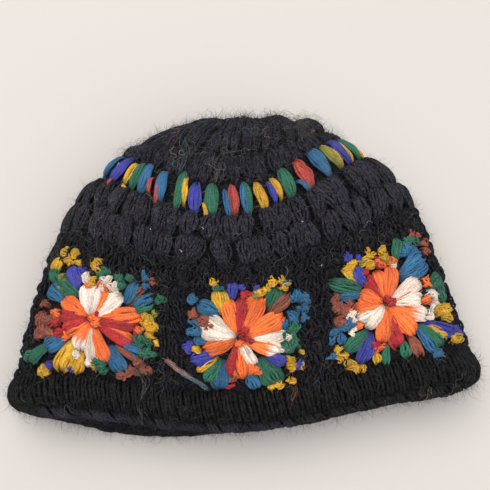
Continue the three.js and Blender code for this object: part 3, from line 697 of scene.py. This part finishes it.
knotCharts = {  # middle, size
    "middle": {
        "yellow": [
            (-14, -36, 5), (13, -26, 6), (16.5, -29, 5), (19.5, -33, 6), (26.5, -33, 5.5), (28, -28, 5.5),
            (34, 14, 3.5), (29, 18, 6), (28.5, 23, 6), (34, 23, 3.5), (28, 33, 5), (20, 35, 6), (16.5, 35.5, 4),
            (-24.5, 8.5, 5)],
        "green": [(-11.5, -33.5, 6), (32, -2, 8), (30, 4, 8), (27.5, 9, 8), (32, 9, 6)],
        "indigo": [(2.5, -33, 5), (11.5, -31.5, 3.5), (32, 22, 5), (-29, 7, 6), (-27, 4, 4)],
        "lime": [(10, -26, 4.5)],
        "teal": [
            (29.5, -30.5, 5), (35, -19, 8), (40, -18, 8), (38, -13, 6), (32, -8, 8), (37, -7, 6), (26.5, -4.5, 6),
            (-24, -4, 8), (-22, 1.5, 7), (-28, -3, 4), (-25.5, -23, 6), (-25.5, -10, 4)],
        "rust": [(-20, -12, 8), (-26, -14, 6), (-17.5, -8, 6), (-5, 27, 5)],
        "darkRed": [(4.5, -27, 7), (2.5, -3, 6), (5.5, 1, 5), (-5.5, 32, 4)],
        "orange": [(7, -23, 5), (15, -22, 4.5), (-17, -4.5, 3.5), (1, 2, 5), (10, 22, 6)],
        "cream": [(28, 3.5, 5), (24, 11, 4.5), (-19, -6, 4)]},
    "left": {
        "yellow": [
            (-17.5, -33.5, 7), (-12.5, -34, 6), (-17, -38, 5.5), (-25, -38.5, 4), (-1.5, -33, 7), (-1.5, -36.5, 6),
            (-1.5, -24, 6), (35, -9, 6), (33, -5, 6), (37, -3, 8), (35.5, 1, 6), (40, 6, 4), (4.5, 30, 4.5),
            (-24, 34, 6), (-23, 37.5, 5)],
        "green": [
            (-26.5, -23, 9), (2.5, -28, 6), (6, -32, 7), (14, -29, 8), (17, -25.5, 7), (22, -32, 6), (41, -21, 6),
            (29, 6.5, 8), (34, 6, 8), (34, 12, 9), (6, 26, 7), (9, 30, 9), (-31, 25, 8)],
        "lime": [(-22, -21, 5), (38, -12, 4.5), (-19.5, -16, 4)],
        "cream": [(-6, -24, 7), (6, -24.5, 8), (11, -22.5, 8), (-6.5, 24, 6), (2, 27, 6)],
        "orange": [(-4.5, -19, 5), (4.5, -22, 5), (29.5, 0, 5), (-20.5, -1, 5), (-14, 13, 5), (2, -1, 6), (4, 2, 5)],
        "darkRed": [(28, 2, 5), (-20, 5, 7), (-18, 12, 6), (4.5, -4, 4)],
        "teal": [(31, -35, 6), (33, -29, 5), (28, 19, 5)],
        "rust": [
            (35.5, -33, 5), (-24, 6, 8), (-30, 3, 8), (-30, 12, 9), (-25, 11.5, 8), (-29, -5, 5), (29, 22, 6),
            (33, 25, 7), (25, 30, 7), (20, 32.5, 5)],
        "indigo": [(-9, -30, 4.5), (-9.5, 33, 4.5), (-21, 31.5, 5)]},
    "right": {
        "yellow": [
            (-19, -30.5, 7), (-15.5, -29, 5), (-5, -32.5, 7), (-8, -27, 7), (-5.5, -23.5, 6), (4.5, -31, 6),
            (4.5, -26, 6), (31, 12, 8), (36, 11.5, 8), (35, 16.5, 6), (36.5, 31, 7), (-32, 19, 6), (-31, 24, 6),
            (-25, 31, 7), (-21, 35.5, 6)],
        "indigo": [(-19.5, -34.5, 6), (-11, -32.5, 6), (38, 24, 6)],
        "lime": [(7, -23, 5), (-10.5, -28, 4)],
        "green": [(21, -30, 7), (25.5, -29.5, 7), (33, 2.5, 8), (37, -2, 7), (14, -28, 6)],
        "teal": [
            (20, -26, 9), (25, -23, 8), (24.5, 37.5, 6), (-37, 22, 4.5), (-32, 10.5, 9), (-25, 6, 8), (-21, 5, 5)],
        "rust": [
            (27, -35, 6), (31, -33, 4), (35, -27, 5.5), (34.5, -22, 5.5), (-31, -12, 6), (-28, -7, 8), (-22.5, -7, 8),
            (-30, 1, 8), (-25, -2, 6)],
        "darkRed": [(-1, -23.5, 8), (-9, -21, 5), (-9.5, 24, 6), (2, -2, 5), (4.5, 1.5, 5)],
        "orange": [
            (2, -23, 5), (9.5, -21.5, 5), (27, -5, 5.5), (24, 4.5, 5.5), (-23, -2.5, 5), (-18.5, 8, 5), (-8, 25, 5)],
        "cream": [(10, -20, 4), (29, 3, 7), (29, 8, 6.5), (25, 13, 5.5), (-21.5, 0, 7), (-21.5, 10.5, 5), (-21, 4, 5)]},
}
squares = [  # name, node, place around the hat, chart, quarter turns, seed
    ("FrontRight", "front_right", 0.092, "right", 0, 31), ("FrontMiddle", "front_middle", 0.2544, "middle", 0, 32),
    ("FrontLeft", "front_left", 0.4145, "left", 0, 33), ("BackLeft", "back_left", 0.5833, "middle", 1, 34),
    ("BackMiddle", "back_middle", 0.75, "right", 2, 35), ("BackRight", "back_right", 0.9167, "left", 1, 36)]
squareSize = {"middle": 172.5, "half": 35.5, "halfAround": 0.0667, "nominal": 36.0, "petalStart": 0.08,
              "heart": 12, "heartPeak": 7.6, "knotPeak": 6.6}
petalShape = {"steps": 10, "foot": 2.4, "peak": 7.2, "thick": 0.85, "widest": 0.74, "baseShare": 0.25, "tipShare": 0.5,
              "bend": 0.3, "loose": 0.18, "deep": 0.74, "coreShade": 0.75, "fill": 1.02, "apart": 0.9, "fewest": 4}
leafShape = {"steps": 10, "foot": 2.0, "peak": 6.8, "thick": 0.75, "widest": 0.68, "baseShare": 0.22, "tipShare": 0.4,
             "bend": 0.3, "loose": 0.26, "deep": 0.4, "coreShade": 0.5, "fill": 0.95, "apart": 0.95, "fewest": 3}


def makeSquare(name, node, around, chart, turns, seed):
    rng = np.random.default_rng(seed)
    patch = {"around": around, "along": squareSize["middle"],
             "acrossScale": squareSize["halfAround"] / squareSize["nominal"],
             "downScale": squareSize["half"] / squareSize["nominal"]}
    turn = np.array([[0, -1], [1, 0]]) if turns == 1 else np.eye(2) * (1 if turns == 0 else -1)
    flower, corners = newBundle(), newBundle()
    for across, down, width, colours in petalCharts[chart]:
        tip = turn @ np.array([across, down], float)
        addLeaf(flower, patch, tip * squareSize["petalStart"], tip, colours, fillLeaf(petalShape, width), rng)
    for baseAcross, baseDown, across, down, width, colours in leafCharts[chart]:
        base, tip = turn @ np.array([baseAcross, baseDown]), turn @ np.array([across, down])
        addLeaf(corners, patch, base, tip, colours, fillLeaf(leafShape, width), rng)
    for colours, spots in knotCharts[chart].items():
        bundle = flower if colours in ("orange", "darkRed", "cream") else corners
        for across, down, size in spots:
            peak = squareSize["heartPeak" if math.hypot(across, down) < squareSize["heart"] else "knotPeak"]
            addKnot(bundle, patch, turn @ np.array([across, down]), size, colours, rng, peak)
    return [sweepPiece("flower" + name, flower, "petalWool", ["flower_" + node]),
            sweepPiece("corners" + name, corners, "cornerWool", ["corner_round_" + node])]


squarePieces = [piece for row in squares for piece in makeSquare(*row)]
print("flower squares made")


def makeJoins():
    rng, bundle = startPiece(joins)
    for k, row in enumerate(squares):
        start = squares[k - 1][2] - (k == 0) + squareSize["halfAround"] - joins["overlap"]
        end = row[2] - squareSize["halfAround"] + joins["overlap"]
        for r in range(joins["rows"]):
            along = joins["from"] + (joins["to"] - joins["from"]) * (r + 0.5) / joins["rows"]
            for c in range(joins["columns"]):
                around = start + (end - start) * (c + 0.5 + rng.normal(0, 0.08)) / joins["columns"]
                width = (end - start) / joins["columns"] * perTurn(around, along) * smallLeaf["fill"]
                lower = along + (c % 2) * joins["stagger"]
                addSmallStitch(bundle, around, lower, width, joins["height"], joins["tilt"], rng)
    return sweepPiece("joinStitches", bundle, "sootWool", joinNames)


blackPieces.append(makeJoins())

# the ribbed band, two strands to a rib, and the cord of stitches under it
brim = {"from": 208.5, "to": 229.5, "ribs": 236, "steps": 13, "underSteps": 7, "low": 1.0, "high": 8.4,
        "thick": 0.78, "lean": 4.0, "gap": 0.36, "foldFatness": 0.5, "foldReach": 0.05, "seed": 51}
brimCord = {"middle": 231.4, "offset": 0.4, "round": 2.7, "count": 92, "strands": 4, "apart": 1.4, "slant": 15.0,
            "start": 200, "sweep": 290, "thick": 0.95, "steps": 9, "bluer": (0.2, 0.46), "seed": 52}


def makeBrim():
    rng, bundle = startPiece(brim)
    half = (brim["to"] - brim["from"]) / 2
    for k in range(brim["ribs"]):
        patch = roundPatch((k + rng.normal(0, 0.1)) / brim["ribs"], (brim["from"] + brim["to"]) / 2)
        t = np.linspace(0, 1, brim["underSteps" if liesUnder(k / brim["ribs"]) else "steps"])
        swell = np.sin(np.pi * t) ** 0.42
        lift, sway, glow = rng.normal(0, 0.3), rng.normal(0, 0.25), 1 + rng.normal(0, 0.15)
        turn = rng.uniform(0, 6)
        fatter = 1 + brim["foldFatness"] * math.exp(-(fromFold(k / brim["ribs"]) / brim["foldReach"]) ** 2)
        twist = 3 * np.pi * t + turn
        for pair in (-1, 1):  # two plies that twist round each other
            across = brim["lean"] * (t - 0.5) + np.cos(twist) * pair * brim["gap"] + sway * np.sin(2 * np.pi * t)
            thick = brim["thick"] * fatter * (1 + rng.normal(0, 0.06) + 0.1 * np.cos(8 * np.pi * t + turn))
            deep = np.sin(twist) * pair * brim["gap"]
            high = brim["low"] + (brim["high"] + lift - brim["low"]) * swell + deep - thick
            points = patchAt(patch, np.stack([across, half * (2 * t - 1)], -1), high, brim["thick"])
            # painted shade: each rib is darker towards both ends, where it dips low
            shade = glow * (0.4 + 0.6 * swell)
            addStrand(bundle, points, thick, strandTint("brim", 0, len(t), rng) * shade[:, None], rng)
    return sweepPiece("brimRibs", bundle, "brimWool", ["brim_band"])


def makeBrimCord():
    rng, bundle = startPiece(brimCord)
    t = np.linspace(0, 1, brimCord["steps"])
    angle = math.radians(brimCord["start"]) - math.radians(brimCord["sweep"]) * t
    thick = brimCord["thick"] * (0.75 + 0.3 * np.sin(np.pi * t))
    for k in range(brimCord["count"]):  # slanting turns of yarn round the band's lower edge
        around = (k + rng.normal(0, 0.1)) / brimCord["count"]
        patch = roundPatch(around, brimCord["middle"])
        colours = "black" if brimCord["bluer"][0] < around < brimCord["bluer"][1] else "brim"
        glow, size = 1 + rng.normal(0, 0.22), brimCord["round"] + rng.normal(0, 0.3)
        # painted shade: each turn is darker at its two ends, where it wraps under the band's edge
        shade = glow * (0.95 + 0.65 * np.sin(np.pi * t))
        for row in range(brimCord["strands"]):
            reach = size + 0.4 * np.sin(np.pi * t) + rng.normal(0, 0.15)
            across = ((t - 0.5) * brimCord["slant"] + row * brimCord["apart"] + 0.5 * np.sin(2 * np.pi * t + row)
                      + rng.normal(0, 0.3))
            down = reach * np.cos(angle) + edgeShift(np.mod(around - across * patch["acrossScale"], 1.0))
            high = brimCord["offset"] + reach * np.sin(angle)
            points = patchAt(patch, np.stack([across, down], -1), high, brimCord["thick"])
            addStrand(bundle, points, thick, strandTint(colours, 0, len(t), rng) * shade[:, None], rng)
    return sweepPiece("brimCord", bundle, "brimWool", ["brim_edge"])


brimPieces = [makeBrim(), makeBrimCord()]
print("brim made")

# the felted ground behind the stitches, which is also the hat's inside
ground = {"rows": 50, "columns": 180, "pole": 1.5, "from": 4, "to": 232.5, "shiftFrom": 200, "shiftOver": 32,
          "outer": 1.0, "inner": -3.1, "squares": (137, 208), "squareRise": 1.2, "relief": 0.5, "stitches": 84,
          "stitchRow": 6, "shade": 0.35}


def makeGround():
    alongs = np.concatenate([[ground["pole"]], np.linspace(ground["from"], ground["to"], ground["rows"])])
    u, v = np.meshgrid(np.arange(ground["columns"]) / ground["columns"], alongs)
    v = v + edgeShift(u) * np.clip((v - ground["shiftFrom"]) / ground["shiftOver"], 0, 1)
    offRow = (np.floor(v / ground["stitchRow"]) % 2) * np.pi
    bump = ground["relief"] * np.sin(2 * np.pi * ground["stitches"] * u + offRow)
    bump = bump * np.sin(np.pi * v / ground["stitchRow"])
    behindSquares = ground["squareRise"] * (v > ground["squares"][0]) * (v < ground["squares"][1])
    outer = clothAt(u, v, ground["outer"] + behindSquares + gatherAt(u, v), 0.3)
    inner = clothAt(u, v, ground["inner"] - bump, 0.8)
    poles = [layer[0].mean(0)[None] for layer in (outer, inner)]
    points = np.concatenate([outer.reshape(-1, 3), inner.reshape(-1, 3), *poles])
    at = np.arange(u.size).reshape(u.shape)
    nextAt = np.roll(at, -1, axis=1)
    faces = np.stack([at[:-1], at[1:], nextAt[1:], nextAt[:-1]], -1).reshape(-1, 4).tolist()
    faces += (np.stack([at[:-1], nextAt[:-1], nextAt[1:], at[1:]], -1).reshape(-1, 4) + u.size).tolist()
    faces += np.stack([at[-1], at[-1] + u.size, nextAt[-1] + u.size, nextAt[-1]], -1).tolist()
    faces += [(2 * u.size, int(a), int(b)) for a, b in zip(at[0], nextAt[0])]
    faces += [(2 * u.size + 1, int(b) + u.size, int(a) + u.size) for a, b in zip(at[0], nextAt[0])]
    mesh = bpy.data.meshes.new("woolGround")
    mesh.from_pydata((points / 1000).tolist(), [], faces)
    mesh.shade_smooth()
    # painted shade: the ground's black is darkened so the gaps between stitches read as shadow
    paintTint(mesh, yarnColours["black"] * ground["shade"])
    mesh.materials.append(wools["sootWool"])
    piece = addObject("woolGround", mesh)
    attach(piece, "root")
    countTriangles(piece)


makeGround()
print("ground made")

# loose fibres: on, hairs for a square metre, length and half width in m, share of pale ones, seed, slot
fuzz = {
    "fuzzCrown": (blackPieces[:3], 4.0e5, 0.0074, 5.2e-5, 0.2, 61, "black_wool"),
    "fuzzBody": (blackPieces[3:], 1.6e5, 0.006, 5.2e-5, 0.38, 62, "black_wool"),
    "fuzzColour": ([colourPiece] + squarePieces, 0.65e5, 0.0044, 4.2e-5, 0.25, 63, "mixed_wool"),
    "fuzzBrim": (brimPieces, 2.4e5, 0.0078, 5.2e-5, 0.15, 64, "brim_wool"),
}


def joinMeshes(name, pieces):  # one mesh with the faces and tints of several pieces
    points, faces, tints, start = [], [], [], 0
    for mesh in (piece.data for piece in pieces):
        co, tint = np.empty(len(mesh.vertices) * 3, np.float32), np.empty(len(mesh.vertices) * 4, np.float32)
        mesh.vertices.foreach_get("co", co)
        mesh.attributes["tint"].data.foreach_get("color", tint)
        mesh.calc_loop_triangles()
        corners = np.empty(len(mesh.loop_triangles) * 3, np.int32)
        mesh.loop_triangles.foreach_get("vertices", corners)
        points.append(co.reshape(-1, 3))
        tints.append(tint)
        faces.append(corners.reshape(-1, 3) + start)
        start += len(mesh.vertices)
    joined = bpy.data.meshes.new(name)
    joined.from_pydata(np.concatenate(points).tolist(), [], np.concatenate(faces).tolist())
    joined.attributes.new("tint", "FLOAT_COLOR", "POINT").data.foreach_set("color", np.concatenate(tints))
    return joined


for name, (on, density, length, width, pale, seed, slot) in fuzz.items():
    piece = settle(name, joinMeshes(name + ".base", on), fuzzTree,
                   {"Density": density, "Seed": seed, "Length": length, "Width": width, "Pale": pale,
                    "Wool": wools["looseFibres"]})
    countTriangles(piece)

# long wandering hairs that lie over the stitches, strewn and in tangles, and wisps drawn out of a coloured stitch
threads = {
    "strewn": 300, "high": 7.6, "thick": 0.05, "step": 1.0, "wander": 0.4, "swing": 0.9, "wispHigh": 7.8,
    "bends": 1.1, "ownBend": 0.8, "gap": 0.3, "seed": 71,
    "colours": ("pale", "pale", "pale", "teal", "lime", "rust", "green", "cream"),
    "tangles": [  # around, along, reach in mm, hairs, colour
        (0.055, 22, 8, 26, "pale"), (0.1, 32, 7, 20, "pale"), (0.105, 48, 7, 14, "moss"), (0.27, 44, 10, 26, "pale"),
        (0.34, 50, 9, 24, "pale"), (0.2, 30, 9, 16, "pale"), (0.42, 40, 10, 12, "teal"), (0.45, 62, 8, 14, "teal"),
        (0.44, 112, 10, 26, "moss"), (0.405, 105, 8, 16, "pale"), (0.3, 92, 9, 22, "indigo"),
        (0.47, 140, 8, 14, "pale"), (0.36, 140, 10, 14, "pale"), (0.08, 78, 8, 14, "moss"),
        (0.335, 196, 9, 16, "pale"), (0.33, 222, 8, 6, "pale"), (0.45, 226, 10, 8, "pale"),
        (0.05, 222, 10, 8, "pale"), (0.17, 200, 8, 8, "pale")],
    "wisps": [  # around and along of both ends, spread in mm, hairs, colour, waviness
        (0.3305, 188, 0.307, 197, 0.7, 26, "blush", 1.2), (0.314, 194, 0.288, 206, 0.7, 26, "mist", 1.2),
        (0.445, 55, 0.41, 70, 1.4, 4, "teal", 2.4), (0.345, 40, 0.33, 65, 1.2, 4, "mist", 2.0),
        (0.285, 50, 0.275, 68, 1.4, 6, "pale", 2.2), (0.115, 30, 0.1, 60, 1.6, 5, "moss", 3.0),
        (0.3565, 196, 0.352, 228, 1.0, 7, "pale", 2.6), (0.2, 208, 0.204, 222, 0.8, 5, "rust", 1.2)]}


def makeThreads():
    rng, bundle = startPiece(threads)
    spots = [(rng.uniform(0.02, 0.48) if k % 5 else rng.uniform(0.5, 1.0), rng.uniform(14, 232),
              threads["colours"][k % len(threads["colours"])]) for k in range(threads["strewn"])]
    for around, along, reach, count, colour in threads["tangles"]:
        for k in range(count):
            spots.append((around + rng.normal(0, reach / 2) / perTurn(around, along), along + rng.normal(0, reach / 2),
                          colour if k % 2 else "pale"))
    for around, along, colour in spots:
        heading, count = rng.uniform(0, 2 * math.pi), int(rng.integers(7, 17))
        turning = (np.cumsum(rng.normal(0, threads["wander"], count))
                   + threads["swing"] * np.sin(np.arange(count) * rng.uniform(0.4, 1.0)))
        path = np.cumsum(threads["step"] * np.stack([np.cos(heading + turning), np.sin(heading + turning)], -1), axis=0)
        high = threads["high"] + rng.normal(0, 0.8) + np.cumsum(rng.normal(0, 0.2, count))
        points = patchAt(roundPatch(around, along), path, high, threads["gap"])
        tint = (yarnColours[colour] * 0.6 + yarnColours["pale"] * 0.4) * rng.uniform(0.4, 1.2)
        addStrand(bundle, points, threads["thick"] * rng.uniform(0.7, 1.4), tint, rng)
    for around0, along0, around1, along1, spread, count, colour, waviness in threads["wisps"]:
        t = np.linspace(0, 1, 15)
        # the whole wisp bends, and each hair a little more
        sway = waviness * np.sin(2 * np.pi * threads["bends"] * t + rng.uniform(0, 6))
        for k in range(count):
            turn, waves = rng.uniform(0, 6), rng.uniform(1.0, 2.5)
            along = along0 + (along1 - along0) * t + rng.normal(0, spread)
            ownBend = threads["ownBend"] * np.sin(2 * np.pi * waves * t + turn)
            sideways = rng.normal(0, spread) + sway * rng.uniform(0.6, 1.2) + ownBend
            around = around0 + (around1 - around0) * t + sideways / perTurn(around0, along0)
            high = threads["wispHigh"] + gatherAt(around, along) + 0.5 * np.sin(9 * t + turn)
            points = clothAt(around, along, high, threads["gap"])
            tint = (yarnColours[colour] * 0.7 + yarnColours["pale"] * 0.3) * rng.uniform(0.6, 1.3)
            addStrand(bundle, points, threads["thick"] * rng.uniform(0.9, 1.7), tint, rng)
    return sweepPiece("longHairs", bundle, "looseFibres", sides=3)


lint = {"specks": [(0.357, 108), (0.293, 99), (0.317, 116.5), (0.177, 105.5), (0.161, 136.5)],  # around, along
        "hairs": 3, "high": 7.8, "thick": 0.11, "seed": 81}


def makeLint():
    rng, bundle = startPiece(lint)
    for around, along in lint["specks"]:
        for k in range(lint["hairs"]):
            path = rng.normal(0, 0.35, (4, 2)).cumsum(0) * 0.6
            points = patchAt(roundPatch(around, along), path, lint["high"] + 0.3 * path[:, 0], 0.3)
            addStrand(bundle, points, lint["thick"], yarnColours["cream"], rng)
    return sweepPiece("lintSpecks", bundle, "looseFibres")


makeThreads()
makeLint()
print("loose fibres made")

# table, light and camera
stage = {"size": 3.0, "colour": (0.61, 0.565, 0.53, 1), "roughness": 0.7,
         "room": (0.98, 0.98, 1.0, 1), "roomLight": 0.7}
floorMesh = bpy.data.meshes.new("tableTop")
s = stage["size"]
floorMesh.from_pydata([(-s, -s, 0), (s, -s, 0), (s, s, 0), (-s, s, 0)], [], [(0, 1, 2, 3)])
floor = addObject("tableTop", floorMesh)
floorMaterial = bpy.data.materials.new("tableTop")
floorMaterial.use_nodes = True
setInputs(floorMaterial.node_tree.nodes["Principled BSDF"],
          {"Base Color": stage["colour"], "Roughness": stage["roughness"]})
floorMesh.materials.append(floorMaterial)

lights = [  # name, place in m, size, watts, colour
    ("skyLight", (-0.35, 0.5, 1.5), 1.6, 20.0, (1.0, 0.99, 0.97)),
    ("sideLight", (0.9, -0.5, 1.1), 1.2, 6.0, (0.96, 0.98, 1.0)),
]
for name, place, size, watts, colour in lights:
    light = bpy.data.lights.new(name, "AREA")
    light.size, light.energy, light.color = size, watts, colour
    lamp = addObject(name, light)
    lamp.location = place
    direction = -np.array(place)
    lamp.rotation_euler = (math.acos(-direction[2] / np.linalg.norm(direction)), 0,
                           math.atan2(direction[1], direction[0]) - math.pi / 2)
world = bpy.data.worlds.new("softRoom")
world.use_nodes = True
setInputs(world.node_tree.nodes["Background"], {"Color": stage["room"], "Strength": stage["roomLight"]})
bpy.context.scene.world = world
bpy.context.scene.view_settings.view_transform = "Standard"

view = {"place": (0.0001, -0.0914, 0.4618), "tilt": 14.0, "lens": 54.0}
cameraData = bpy.data.cameras.new("photoView")
cameraData.lens, cameraData.sensor_width, cameraData.clip_start = view["lens"], 36.0, 0.01
camera = addObject("photoView", cameraData)
camera.location = view["place"]
camera.rotation_euler = (math.radians(view["tilt"]), 0, 0)
bpy.context.scene.camera = camera
print("table, light and camera set")
